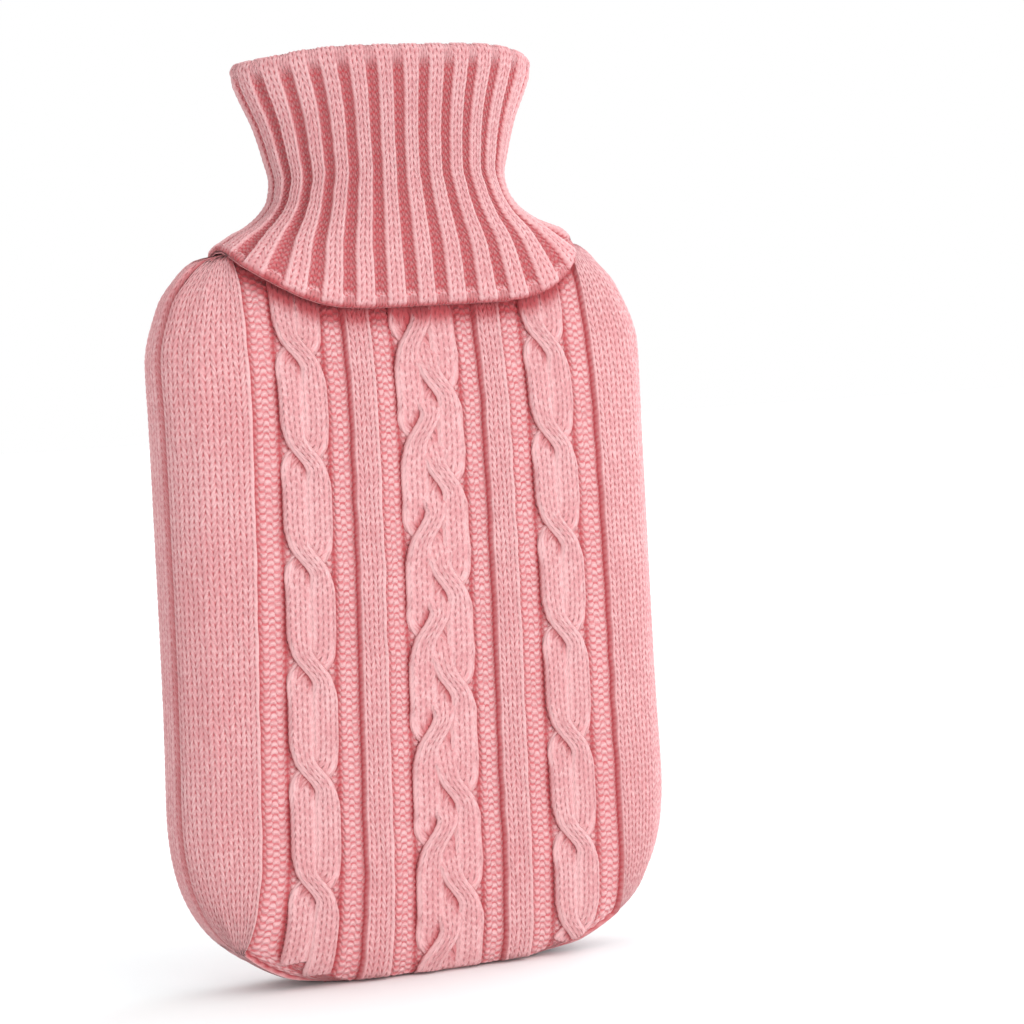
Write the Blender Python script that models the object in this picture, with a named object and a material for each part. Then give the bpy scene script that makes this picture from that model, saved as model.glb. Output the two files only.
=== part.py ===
"""Knitted cover for a hot water bottle: two panels and a ribbed turn-down collar.

The cover stands upright on its flat sole with the front towards -Y. It is hollow, and
the neck is open. The front panel carries two rope cables, two ribs and a plait, all
raised in its face. The collar is one ribbed tube, folded at the rim and turned down
over the shoulders.

Sizes are in millimetres, and MM turns them into metres where a mesh is made.
"""
import math
from collections import namedtuple

import bmesh
import bpy
import numpy as np

MM = 0.001
GAP = 0.3                    # left between neighbouring pieces of cloth

# Pouch: a soft flat box, wider than deep, with full round edges.
PANEL_CLOTH = 3.0            # thickness of the knitted panels
NECK_HEIGHT = 301.0          # top edge of the panels
SEAM_Y = -5.0                # the side seams lie a little in front of the middle
BASE_ROUND_TOP = 80.0        # below this height the pouch rounds in to its sole
BASE_ROUND = 83.0            # more than the height above, which leaves a flat sole
BASE_WIDTH_POWER = 2.84
BASE_DEPTH_POWER = 5.0

# The right side's corners hang rounder than the left side's: narrower by the slack at
# the stated height, and by less and less away from it.
Slack = namedtuple("Slack", "height reach slack")
RIGHT_SLACK = (Slack(0.0, 28.0, 2.1), Slack(272.0, 37.0, 2.0))

# The powers are those of the superellipse of a level section.
PouchRow = namedtuple("PouchRow", "height half_width half_depth width_power depth_power")
POUCH_ROWS = tuple(PouchRow(*row) for row in (
    (0.0, 105.5, 24.0, 3.16, 3.81),
    (60.0, 103.6, 24.2, 3.16, 3.81),
    (110.0, 101.9, 25.8, 3.16, 3.81),
    (160.0, 101.2, 27.6, 3.16, 3.81),
    (215.0, 101.0, 27.8, 3.16, 3.81),
    (240.0, 101.5, 25.4, 3.16, 3.8),
    (262.0, 96.3, 21.6, 3.1, 3.3),
    (272.0, 90.0, 18.6, 2.9, 2.6),
    (279.0, 82.2, 16.2, 2.7, 2.3),
    (283.0, 61.0, 17.4, 2.5, 2.3),
    (287.0, 48.6, 18.6, 2.4, 2.3),
    (293.0, 44.2, 20.2, 2.3, 2.3),
    (NECK_HEIGHT, 43.6, 20.4, 2.3, 2.3),
))

# Knit of the front panel: half widths and centres are measured from the middle line.
FAN_HEIGHT = 140.0           # the knit has its stated widths at this height
FAN_RATE = 0.00034           # and spreads by this share for each mm further down
SOLE_REACH = 0.97            # the outermost line's share of the half width at the sole
SOLE_FREE = 0.85             # share of that reach whose lines aren't drawn in
BAND_EDGE = 74.0             # the plain bands lie outside this line
BAND_RAISE = 1.4
BAND_FADE = 92.0             # the band's raise dies away from here
BAND_GONE = 100.0            # to here, on the way to the seam
RIB_CENTRE = 28.4
RIB_HALF = 5.7
RIB_RAISE = 2.3
SOFT_EDGE = 1.8              # width over which a raised element rises
STRAND_POWER = 3.6           # how flat a strand is across its top
STRAND_RAISE = 2.0           # a strand of a cable, away from its crossings
CROSSING_RAISE = 1.5         # added where it passes over its neighbour
CROSSING_LENGTH = 19.0       # height that one crossing takes
RELIEF_TOP = 258.0           # under the collar the raised knit dies away
RELIEF_FADE = 12.0
SOLE_FADE = 9.0

# Each cable's strands lie in slots. A crossing is between two neighbouring slots, and
# its lean is the way that the upper strand moves on its way down: 1 right, -1 left.
Crossing = namedtuple("Crossing", "height left_slot lean")
Cable = namedtuple("Cable", "centre slots strand_half pitch crossings")
LEFT_ROPE = Cable(-53.6, (-4.7, 4.7), 5.7, 40.4, (Crossing(40.5, 0, 1),))
RIGHT_ROPE = Cable(53.6, (-4.7, 4.7), 5.7, 38.7, (Crossing(9.7, 0, 1),))
PLAIT = Cable(0.0, (-8.7, 0.0, 8.7), 5.2, 39.2, (Crossing(33.0, 1, 1), Crossing(13.4, 0, -1)))
CABLES = (LEFT_ROPE, PLAIT, RIGHT_ROPE)

# Each raised edge has a mesh line just outside its foot and one where its top begins.
EDGE_FOOT = 0.3
EDGE_TOP = 1.9

# Collar: one ribbed tube, its rows taken from the hem up to the rim.
COLLAR_CLOTH = 2.6
LAYER_GAP = 0.8              # between the two layers of the folded collar
LEFT_HEM_RISE_POWER = 5.6    # how late the hem rises on its way to the left side
RIGHT_HEM_RISE_POWER = 8.0  # and to the right side
RIB_COUNT = 26
COLLAR_RIB_RAISE = 1.5
INSIDE_RIB_RAISE = 0.7       # on the face inside the neck
RibPoint = namedtuple("RibPoint", "place raised_share")      # place is a share of one rib
RIB_POINTS = (RibPoint(0.0, 0.0), RibPoint(0.3, 1.0), RibPoint(0.7, 1.0))

# rib_spread widens the ribs of a row at the front and back, and narrows them at the sides.
# section_power is the superellipse power of a level section.
CollarRow = namedtuple("CollarRow", "side_x side_height front_y front_height section_power "
                       "rib_spread")
COLLAR_ROWS = tuple(CollarRow(*row) for row in (
    (72.8, 285.2, 30.0, 257.6, 4.8, -0.12),
    (68.4, 286.0, 29.5, 264.6, 4.4, -0.08),
    (63.2, 287.3, 28.8, 272.0, 3.9, -0.02),
    (57.6, 289.6, 27.6, 281.0, 3.3, 0.06),
    (51.9, 294.0, 25.9, 290.5, 2.5, 0.12),
    (47.7, 300.2, 24.0, 300.5, 2.3, 0.14),
    (46.7, 307.5, 22.9, 309.5, 2.2, 0.10),
    (48.8, 316.5, 22.9, 320.0, 2.2, 0.07),
    (52.2, 328.0, 23.9, 332.0, 2.2, 0.03),
    (57.4, 339.5, 25.3, 344.0, 2.2, 0.0),
    (61.3, 348.9, 26.2, 353.6, 2.2, 0.0),
))
NECK_ROW = 5                 # the inner layer's lower edge lies inside this row
NECK_EDGE_LIFT = 0.4         # the inner layer's lower edge stands this far above the panels
RIM_CREST = 3.2              # height of the fold above the last row
RIM_RIB_RAISE = 0.8          # of the ribs where they turn over the fold
RIM_STEPS = 4                # of the half turn over the fold
HEM_ROUND = 0.7              # how far the hem's rounded edge hangs below the first row

# Cloth colours: red, green and blue in linear light.
WOOL = {"front_panel": (0.80, 0.36, 0.39), "back_panel": (0.78, 0.34, 0.37),
        "collar": (0.81, 0.34, 0.38)}
WOOL_ROUGHNESS = 0.92


def smooth_step(value):
    """0 below 0, 1 above 1, and a soft S between."""
    value = min(max(value, 0.0), 1.0)
    return value * value * (3.0 - 2.0 * value)


def from_rows(rows, column, height):
    """Read one column of a table at a height, on a smooth curve that never overshoots."""
    heights = [row.height for row in rows]
    values = [getattr(row, column) for row in rows]
    height = min(max(height, heights[0]), heights[-1])
    last = len(rows) - 2
    index = min(max(int(np.searchsorted(heights, height)) - 1, 0), last)
    slopes = [(values[i + 1] - values[i]) / (heights[i + 1] - heights[i])
              for i in range(len(rows) - 1)]

    def tangent(i):
        if i == 0:
            return slopes[0]
        if i == len(rows) - 1:
            return slopes[-1]
        before, after = slopes[i - 1], slopes[i]
        if before * after <= 0.0:
            return 0.0
        return 2.0 * before * after / (before + after)

    span = heights[index + 1] - heights[index]
    t = (height - heights[index]) / span
    start, end = values[index], values[index + 1]
    rise_in, rise_out = tangent(index) * span, tangent(index + 1) * span
    return ((2 * t ** 3 - 3 * t ** 2 + 1) * start + (t ** 3 - 2 * t ** 2 + t) * rise_in
            + (3 * t ** 2 - 2 * t ** 3) * end + (t ** 3 - t ** 2) * rise_out)


def pouch_size(height):
    """Half width, half depth and powers of the pouch's outer face at a height."""
    half_width, half_depth, width_power, depth_power = (
        from_rows(POUCH_ROWS, column, height) for column in PouchRow._fields[1:])
    below = max((BASE_ROUND_TOP - height) / BASE_ROUND, 0.0)
    left = 1.0 - below ** BASE_WIDTH_POWER
    half_width *= left ** (1.0 / BASE_WIDTH_POWER)
    half_depth *= left ** (1.0 / BASE_DEPTH_POWER)
    return half_width, half_depth, width_power, depth_power


def corner_slack(height, side):
    """How much narrower one side of the pouch is at its corners; side is 1 on the right."""
    if side < 0:
        return 0.0
    return sum(row.slack * max(1.0 - ((height - row.height) / row.reach) ** 2, 0.0) ** 2
               for row in RIGHT_SLACK)


def half_section(height, face, side, inset, samples=480):
    """A level section from the middle of one face round to a side seam, as |x| and y."""
    half_width, half_depth, width_power, depth_power = pouch_size(height)
    half_width -= corner_slack(height, side) + inset
    half_depth -= inset
    seam_y = SEAM_Y + face * GAP / 2
    seam_angle = math.asin((abs(seam_y) / half_depth) ** (depth_power / 2))
    end = seam_angle if face * seam_y > 0 else -seam_angle
    angle = np.linspace(math.pi / 2, end, samples)
    x = half_width * np.abs(np.cos(angle)) ** (2 / width_power)
    y = half_depth * np.sign(np.sin(angle)) * np.abs(np.sin(angle)) ** (2 / depth_power)
    y = face * y
    x[0], y[-1] = 0.0, seam_y
    return x, y


def fan(height):
    """How far the knit's vertical lines are spread at a height."""
    return 1.0 + (FAN_HEIGHT - height) * FAN_RATE


def plan_x(station, half_width, height, outermost):
    """Place of a vertical line of knit at a height, drawn in where the sole narrows."""
    x = station * fan(height)
    limit = SOLE_REACH * half_width
    widest = outermost * fan(height)
    if limit >= widest:
        return x
    keep = SOLE_FREE * limit
    if x <= keep:
        return x
    return keep + (x - keep) * (limit - keep) / (widest - keep)


def half_row(height, face, side, inset, stations, edge_steps):
    """Points of one level row, from the middle of a panel to its seam on one side."""
    x, y = half_section(height, face, side, inset)
    run = np.concatenate([[0.0], np.cumsum(np.hypot(np.diff(x), np.diff(y)))])
    flat = [np.interp(plan_x(s, x.max(), height, stations[-1]), x, run) for s in stations]
    edge = [flat[-1] + (run[-1] - flat[-1]) * step / edge_steps
            for step in range(1, edge_steps + 1)]
    return [(side * float(np.interp(place, run, x)), float(np.interp(place, run, y)), height)
            for place in flat + edge]


def panel_row(height, face, inset, stations, edge_steps):
    """One level row of a panel's points, from the left seam to the right seam."""
    left = half_row(height, face, -1, inset, stations, edge_steps)
    right = half_row(height, face, 1, inset, stations, edge_steps)
    return left[:0:-1] + right


def panel_grid(heights, face, inset, stations, edge_steps):
    """Rows of points from the neck edge down, and a last one along the sole's seam."""
    rows = [panel_row(height, face, inset, stations, edge_steps) for height in heights]
    seam_y = SEAM_Y + face * GAP / 2
    sole = [(x, seam_y, z) for x, _, z in rows[-1]]
    return np.array(rows + [sole])


def grid_normals(points, face):
    """Outward normals of a grid of points."""
    across = np.gradient(points, axis=1)
    down = np.gradient(points, axis=0)
    normals = np.cross(across, down) * face
    lengths = np.linalg.norm(normals, axis=2, keepdims=True)
    return normals / np.maximum(lengths, 1e-9)


def plateau(distance, half_width):
    """Height share of a raised band with soft edges, by distance from its middle."""
    return smooth_step((half_width - abs(distance)) / SOFT_EDGE + 0.5)


def strand(distance, half_width):
    """Height share of a round strand, by distance from its middle."""
    share = min(abs(distance) / half_width, 1.0)
    return math.sqrt(1.0 - share ** STRAND_POWER)


def cable_height(cable, across, height):
    """Raised height of one cable at a place across it and a height up the panel."""
    strands = {slot: (place, STRAND_RAISE) for slot, place in enumerate(cable.slots)}
    for crossing in cable.crossings:
        periods = round((height - crossing.height) / cable.pitch)
        nearest = crossing.height + cable.pitch * periods
        progress = (nearest - height) / CROSSING_LENGTH + 0.5
        if not 0.0 < progress < 1.0:
            continue
        lift = CROSSING_RAISE * math.sin(math.pi * progress)
        slot = crossing.left_slot
        start, end = cable.slots[slot:slot + 2][::crossing.lean]
        shift = (end - start) * smooth_step(progress)
        strands[slot] = (start + shift, STRAND_RAISE + lift)
        strands[slot + 1] = (end - shift, STRAND_RAISE - lift)
    return max(raised * strand(across - place, cable.strand_half)
               for place, raised in strands.values())


def front_relief(x, height):
    """Raised height of the front panel's knit."""
    across = x / fan(height)
    side = abs(across)
    raised = BAND_RAISE * smooth_step((side - BAND_EDGE) / SOFT_EDGE + 0.5)
    raised *= 1.0 - smooth_step((side - BAND_FADE) / (BAND_GONE - BAND_FADE))
    raised = max(raised, RIB_RAISE * plateau(side - RIB_CENTRE, RIB_HALF))
    for cable in CABLES:
        raised = max(raised, cable_height(cable, across - cable.centre, height))
    top = smooth_step((RELIEF_TOP + RELIEF_FADE - height) / RELIEF_FADE)
    bottom = smooth_step(height / SOLE_FADE)
    return raised * top * bottom


def link_object(name, mesh):
    """Put a mesh in the scene as one named piece of cloth with its own material."""
    mesh.transform(((MM, 0, 0, 0), (0, MM, 0, 0), (0, 0, MM, 0), (0, 0, 0, 1)))
    material = bpy.data.materials.new(name + "_wool")
    material.use_nodes = True
    shader = material.node_tree.nodes["Principled BSDF"]
    shader.inputs["Base Color"].default_value = (*WOOL[name], 1.0)
    shader.inputs["Roughness"].default_value = WOOL_ROUGHNESS
    shader.inputs["Metallic"].default_value = 0.0
    material.diffuse_color = (*WOOL[name], 1.0)
    mesh.materials.append(material)
    mesh.shade_smooth()
    piece = bpy.data.objects.new(name, mesh)
    bpy.context.collection.objects.link(piece)
    return piece


def keep_some(count, fine, step):
    """Indices of every point in the first stretch, then of one in so many, and the last."""
    return list(range(fine)) + list(range(fine, count - 1, step)) + [count - 1]


def close_border(bm, outer, inner, kept):
    """Join a fine border to a coarser one that has a point at each kept index."""
    for index, (first, last) in enumerate(zip(kept, kept[1:])):
        ring = list(outer[first:last + 1]) + [inner[index + 1], inner[index]]
        bm.faces.new(list(dict.fromkeys(ring)))


def grid_faces(bm, verts, flip):
    """Fill a grid of points with faces."""
    for row_a, row_b in zip(verts[:-1], verts[1:]):
        for column in range(len(row_a) - 1):
            quad = [row_a[column], row_b[column], row_b[column + 1], row_a[column + 1]]
            quad = list(dict.fromkeys(quad))
            if len(quad) > 2:
                bm.faces.new(quad[::-1] if flip else quad)


def make_panel(name, face, heights, stations, edge_steps, kept_rows, column_step, relief):
    """Build one panel as a closed sheet: outer face, plainer inner face and its edges."""
    outer = panel_grid(heights, face, 0.0, stations, edge_steps)
    kept_columns = keep_some(outer.shape[1], 0, column_step)
    normals = grid_normals(outer, face)
    if relief:
        for row in range(1, len(heights) - 1):
            for column in range(1, outer.shape[1] - 1):
                x, _, height = outer[row, column]
                outer[row, column] += normals[row, column] * relief(x, height)
    ratio = (NECK_HEIGHT - PANEL_CLOTH) / NECK_HEIGHT
    inner_heights = [PANEL_CLOTH + heights[row] * ratio for row in kept_rows]
    inner = panel_grid(inner_heights, face, PANEL_CLOTH, stations, edge_steps)
    inner = inner[:, kept_columns]

    bm = bmesh.new()
    grids = []
    for points in (outer, inner):
        grid = [[bm.verts.new(point) for point in row] for row in points]
        for end in (0, -1):
            bm.verts.remove(grid[-1][end])
            grid[-1][end] = grid[-2][end]
        grids.append(grid)
    out, ins = grids
    grid_faces(bm, out, face > 0)
    grid_faces(bm, ins, face < 0)
    close_border(bm, out[0], ins[0], kept_columns)
    close_border(bm, out[-1], ins[-1], kept_columns)
    for side in (0, -1):
        outer_side = [row[side] for row in out[:-1]]
        close_border(bm, outer_side, [row[side] for row in ins[:-1]], kept_rows)
    bmesh.ops.triangulate(bm, faces=bm.faces[:])
    bmesh.ops.recalc_face_normals(bm, faces=bm.faces[:])
    mesh = bpy.data.meshes.new(name)
    bm.to_mesh(mesh)
    bm.free()
    return link_object(name, mesh)


def collar_ring(row, places):
    """Points round one level of the collar, at shares of its length from the front."""
    angle = np.linspace(0.0, 2 * math.pi, 1441)
    sine, cosine = np.sin(angle), np.cos(angle)
    x = row.side_x * np.sign(sine) * np.abs(sine) ** (2 / row.section_power)
    y = -row.front_y * np.sign(cosine) * np.abs(cosine) ** (2 / row.section_power)
    run = np.concatenate([[0.0], np.cumsum(np.hypot(np.diff(x), np.diff(y)))])
    share = places + row.rib_spread * np.sin(4 * math.pi * places) / (4 * math.pi)
    wanted = (share % 1.0) * run[-1]
    ring_x, ring_y = np.interp(wanted, run, x), np.interp(wanted, run, y)
    power = np.where(share % 1.0 < 0.5, RIGHT_HEM_RISE_POWER, LEFT_HEM_RISE_POWER)
    sideways = np.abs(np.sin(2 * math.pi * share)) ** power
    height = row.front_height + (row.side_height - row.front_height) * sideways
    return np.stack([ring_x, ring_y, height], axis=1)


def ring_normals(points):
    """Outward normals of rows of points that close on themselves."""
    across = np.roll(points, -1, axis=1) - np.roll(points, 1, axis=1)
    up = np.gradient(points, axis=0)
    normals = np.cross(across, up)
    return normals / np.linalg.norm(normals, axis=2, keepdims=True)


def make_collar():
    """Build the collar as one closed tube of cloth, folded back over itself at the rim."""
    name = "collar"
    places = np.array([(rib - 0.5 + point.place) / RIB_COUNT
                       for rib in range(RIB_COUNT) for point in RIB_POINTS])
    ribs = np.array([point.raised_share for point in RIB_POINTS] * RIB_COUNT)[:, None]
    face = np.array([collar_ring(row, places) for row in COLLAR_ROWS])
    out = ring_normals(face)
    inside = 2 * COLLAR_CLOTH + LAYER_GAP          # depth of the face inside the neck
    far_side = COLLAR_CLOTH + LAYER_GAP            # depth of the inner layer's back
    neck_rows = range(NECK_ROW + 1, len(COLLAR_ROWS))

    def level(row, depth, raised):
        return face[row] + out[row] * (raised * ribs - depth)

    def neck_edge(depth, raised):
        ring = level(NECK_ROW, depth, raised)
        ring[:, 2] = NECK_HEIGHT + NECK_EDGE_LIFT
        return ring

    def over_rim(turn):
        depth = inside / 2 * (1.0 - math.cos(turn))
        ring = level(-1, depth, RIM_RIB_RAISE * math.cos(turn))
        ring[:, 2] = face[-1][:, 2] + math.sin(turn) * (RIM_CREST + RIM_RIB_RAISE * ribs[:, 0])
        return ring

    hem = level(0, COLLAR_CLOTH / 2, 0.0)
    hem[:, 2] -= HEM_ROUND
    rings = [hem]
    rings += [level(row, 0.0, COLLAR_RIB_RAISE) for row in range(len(COLLAR_ROWS))]
    rings += [over_rim(math.pi * step / RIM_STEPS) for step in range(1, RIM_STEPS)]
    rings += [level(row, inside, -INSIDE_RIB_RAISE) for row in reversed(neck_rows)]
    rings += [neck_edge(inside, -INSIDE_RIB_RAISE), neck_edge(far_side, 0.0)]
    rings += [level(row, far_side, 0.0) for row in neck_rows]
    rings += [level(row, COLLAR_CLOTH, 0.0) for row in reversed(range(len(COLLAR_ROWS)))]

    bm = bmesh.new()
    verts = [[bm.verts.new(point) for point in ring] for ring in rings]
    count = len(places)
    for ring_a, ring_b in zip(verts, verts[1:] + verts[:1]):
        for column in range(count):
            after = (column + 1) % count
            bm.faces.new((ring_a[column], ring_a[after], ring_b[after], ring_b[column]))
    bmesh.ops.triangulate(bm, faces=bm.faces[:])
    bmesh.ops.recalc_face_normals(bm, faces=bm.faces[:])
    mesh = bpy.data.meshes.new(name)
    bm.to_mesh(mesh)
    bm.free()
    return link_object(name, mesh)


def spread_steps(edges, counts):
    """Split each stretch between two edges into equal steps."""
    values = [edges[0]]
    for start, end, count in zip(edges, edges[1:], counts):
        values += [start + (end - start) * step / count for step in range(1, count + 1)]
    return values


def raised_edges():
    """Places of the mesh lines at the raised edges of the front, from the middle out."""
    plait_edge = PLAIT.slots[-1] + PLAIT.strand_half
    rope_half = RIGHT_ROPE.slots[-1] + RIGHT_ROPE.strand_half
    rib_edges = (RIB_CENTRE - RIB_HALF, RIB_CENTRE + RIB_HALF)
    rope_edges = (RIGHT_ROPE.centre - rope_half, RIGHT_ROPE.centre + rope_half)
    places = [0.0, plait_edge - EDGE_TOP, plait_edge + EDGE_FOOT]
    for near, far in (rib_edges, rope_edges):
        places += [near - EDGE_FOOT, near + EDGE_TOP, far - EDGE_TOP, far + EDGE_FOOT]
    return places + [BAND_EDGE - SOFT_EDGE / 2, BAND_EDGE + SOFT_EDGE / 2]


def front_panel():
    """Build the front panel, whose rows are close together wherever its knit is raised."""
    heights = spread_steps((NECK_HEIGHT, 280.0, 262.0, 8.0, 3.0, 0.0), (6, 4, 60, 2, 1))
    stations = spread_steps(raised_edges(), (5, 1, 1, 1, 1, 1, 1, 1, 7, 1, 1, 1))
    kept_rows = keep_some(len(heights), 11, 4)
    return make_panel("front_panel", -1, heights, stations, 4, kept_rows, 4, front_relief)


def back_panel():
    """Build the plain back panel, whose rows are close together at the shoulders."""
    heights = spread_steps((NECK_HEIGHT, 262.0, 230.0, 60.0, 8.0, 0.0), (12, 4, 6, 8, 2))
    stations = spread_steps((0.0, BAND_EDGE), (6,))
    kept_rows = keep_some(len(heights), 14, 2)
    return make_panel("back_panel", 1, heights, stations, 6, kept_rows, 2, None)


def main():
    for piece in list(bpy.data.objects):
        bpy.data.objects.remove(piece, do_unlink=True)
    front_panel()
    back_panel()
    make_collar()


main()
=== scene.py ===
"""Looks of the knitted cover: every panel, strand and rib stitched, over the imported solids.

Sizes are in millimetres and follow the solids' own tables; MM turns them into metres where
a mesh is made. The cover stands upright with its front towards -Y.
"""

import math
from collections import namedtuple

import bpy
import numpy as np
from mathutils import Matrix, Vector


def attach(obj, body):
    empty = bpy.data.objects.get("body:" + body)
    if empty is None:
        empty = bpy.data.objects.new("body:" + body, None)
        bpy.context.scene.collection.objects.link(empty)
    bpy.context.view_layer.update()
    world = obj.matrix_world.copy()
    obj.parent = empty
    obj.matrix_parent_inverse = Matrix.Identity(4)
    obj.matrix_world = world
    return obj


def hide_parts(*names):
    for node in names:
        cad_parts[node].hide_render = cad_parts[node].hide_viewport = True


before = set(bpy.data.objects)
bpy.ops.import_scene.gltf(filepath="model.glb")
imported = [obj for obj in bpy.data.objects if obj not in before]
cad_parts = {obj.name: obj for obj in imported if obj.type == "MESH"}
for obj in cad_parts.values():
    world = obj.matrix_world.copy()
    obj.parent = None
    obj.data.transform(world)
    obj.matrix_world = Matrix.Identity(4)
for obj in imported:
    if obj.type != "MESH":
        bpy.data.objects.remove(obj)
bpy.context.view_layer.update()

MM = 0.001
TURN = 2 * math.pi

# ---- sizes of the cover

PANEL_CLOTH = 3.0
PANEL_KEPT = (16, 8)  # the plain inner face has a point for so many rows and columns
NECK_HEIGHT = 301.0
SEAM_Y = -5.0
SEAM_GAP = 0.3
BASE_ROUND_TOP = 80.0
BASE_ROUND = 83.0
BASE_WIDTH_POWER = 2.84
BASE_DEPTH_POWER = 5.0

Slack = namedtuple("Slack", "height reach slack")
RIGHT_SLACK = (Slack(0.0, 28.0, 2.1), Slack(272.0, 37.0, 2.0))

PouchRow = namedtuple("PouchRow", "height half_width half_depth width_power depth_power")
POUCH_ROWS = tuple(PouchRow(*row) for row in (
    (0.0, 105.5, 24.0, 3.16, 3.81),
    (60.0, 103.6, 24.2, 3.16, 3.81),
    (110.0, 101.9, 25.8, 3.16, 3.81),
    (160.0, 101.2, 27.6, 3.16, 3.81),
    (215.0, 101.0, 27.8, 3.16, 3.81),
    (240.0, 101.5, 25.4, 3.16, 3.8),
    (262.0, 96.3, 21.6, 3.1, 3.3),
    (272.0, 90.0, 18.6, 2.9, 2.6),
    (279.0, 82.2, 16.2, 2.7, 2.3),
    (283.0, 61.0, 17.4, 2.5, 2.3),
    (287.0, 48.6, 18.6, 2.4, 2.3),
    (293.0, 44.2, 20.2, 2.3, 2.3),
    (NECK_HEIGHT, 43.6, 20.4, 2.3, 2.3),
))

COLLAR_CLOTH = 2.6
COLLAR_KEPT = (12, 7)
COLLAR_INNER = 2.4  # how far the plain inner face lies below the ribs' ground
COLLAR_ROUND = 400.0  # about its length round, which sets the size of its unevenness
LAYER_GAP = 0.8
LEFT_HEM_RISE_POWER = 5.6
RIGHT_HEM_RISE_POWER = 8.0
RIB_COUNT = 26
NECK_ROW = 5
NECK_EDGE_LIFT = 0.4
RIM_CREST = 3.2

CollarRow = namedtuple("CollarRow", "side_x side_height front_y front_height section_power "
                       "rib_spread")
COLLAR_ROWS = tuple(CollarRow(*row) for row in (
    (72.8, 285.2, 30.0, 257.6, 4.8, -0.12),
    (68.4, 286.0, 29.5, 264.6, 4.4, -0.08),
    (63.2, 287.3, 28.8, 272.0, 3.9, -0.02),
    (57.6, 289.6, 27.6, 281.0, 3.3, 0.06),
    (51.9, 294.0, 25.9, 290.5, 2.5, 0.12),
    (47.7, 300.2, 24.0, 300.5, 2.3, 0.14),
    (46.7, 307.5, 22.9, 309.5, 2.2, 0.10),
    (48.8, 316.5, 22.9, 320.0, 2.2, 0.07),
    (52.2, 328.0, 23.9, 332.0, 2.2, 0.03),
    (57.4, 339.5, 25.3, 344.0, 2.2, 0.0),
    (61.3, 348.9, 26.2, 353.6, 2.2, 0.0),
))

# ---- sizes of the knit

COURSE = 2.75  # height of one row of stitches
ROWS_A_COURSE = 4  # mesh rows in one course
LEG_SLOPE = 3.0  # courses that a stitch's leg climbs for each wale it crosses
STITCH_DEPTH = 0.55  # from the crown of a stitch to the gap beside it
PURL_DEPTH = 0.75
STITCH_MEAN = 0.7  # share of that depth at which a stitch is level with its ground
FINE_RELIEF = 1.2  # the stitches sink where this height would reach the floor
CROWDED_ROOM = 0.15  # lines with less of their usual width have flat stitches
SHOULDER_ROOM = 0.3  # and on the shoulders, lines with this much more
SHOULDER_LEVEL = 235.0
ROOM_FADE = 0.5
END_COURSES = 3.0  # from a panel's ends, until its stitches lean in full
EDGE_WALES = 0.5  # and from a strip's edges
FAN_HEIGHT = 140.0  # where the lines stand in their own places
FAN_RATE = 0.00034  # how much more they spread for each millimetre below
SOLE_REACH = 0.97  # the outermost line's share of the half width at the sole
SOLE_FREE = 0.85  # share of that reach whose lines aren't drawn in
LEFT_SPREAD = 9.0  # how far the band's edge runs out at the left bottom corner
LEFT_SPREAD_TOP = 62.0
BAND_EDGE = 74.0
BAND_FADE = 92.0  # the bands sink back to the ground from here
BAND_GONE = 100.0
SIDE_REACH = 111.0  # the side seam's place on the scale of the vertical lines
RELIEF_TOP = 272.0
RELIEF_FADE = 12.0
PANEL_RELIEF = 6.0  # the relief sinks where this height would reach the floor
STRAND_RELIEF = 5.0
SEAM_DIP = 1.3
SEAM_WIDTH = 3.2
EDGE_LEG_PLACE = 0.30  # wales in from the edge of a knit strip
EDGE_LEG_WIDTH = 0.15
EDGE_LEG_RAISE = 0.4
FLANK = 0.11  # in wales, how wide the steep side of a raised strip is
CREVICE_DEPTH = 0.4
KNIT_CREVICE = 0.12  # in wales, how far it reaches into a knit strip
PURL_CREVICE = 0.24
UNEVEN_ACROSS = 0.30  # how far the stitches stray from their lines
UNEVEN_UP = 0.28  # in courses

# Zones of vertical stitch lines, from the middle or the left seam to the right seam.
Zone = namedtuple("Zone", "stitch wales start end raised steps")
HALF_ZONES = (
    Zone("purl", 2, 13.9, 22.8, 0.0, 4),
    Zone("knit", 3, 22.8, 34.2, 2.0, 4),
    Zone("purl", 2, 34.2, 43.4, 0.0, 4),
    Zone("purl", 5, 43.4, 63.8, -0.3, 2),
    Zone("purl", 2, 63.8, BAND_EDGE, 0.0, 4),
    Zone("knit", 9, BAND_EDGE, SIDE_REACH, 1.5, 4),
)
FRONT_ZONES = (tuple(zone._replace(start=-zone.end, end=-zone.start) for zone in HALF_ZONES[::-1])
               + (Zone("purl", 7, -13.9, 13.9, -0.3, 2),) + HALF_ZONES)
BACK_ZONES = (Zone("knit", 54, -SIDE_REACH, SIDE_REACH, 0.0, 4),)

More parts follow.
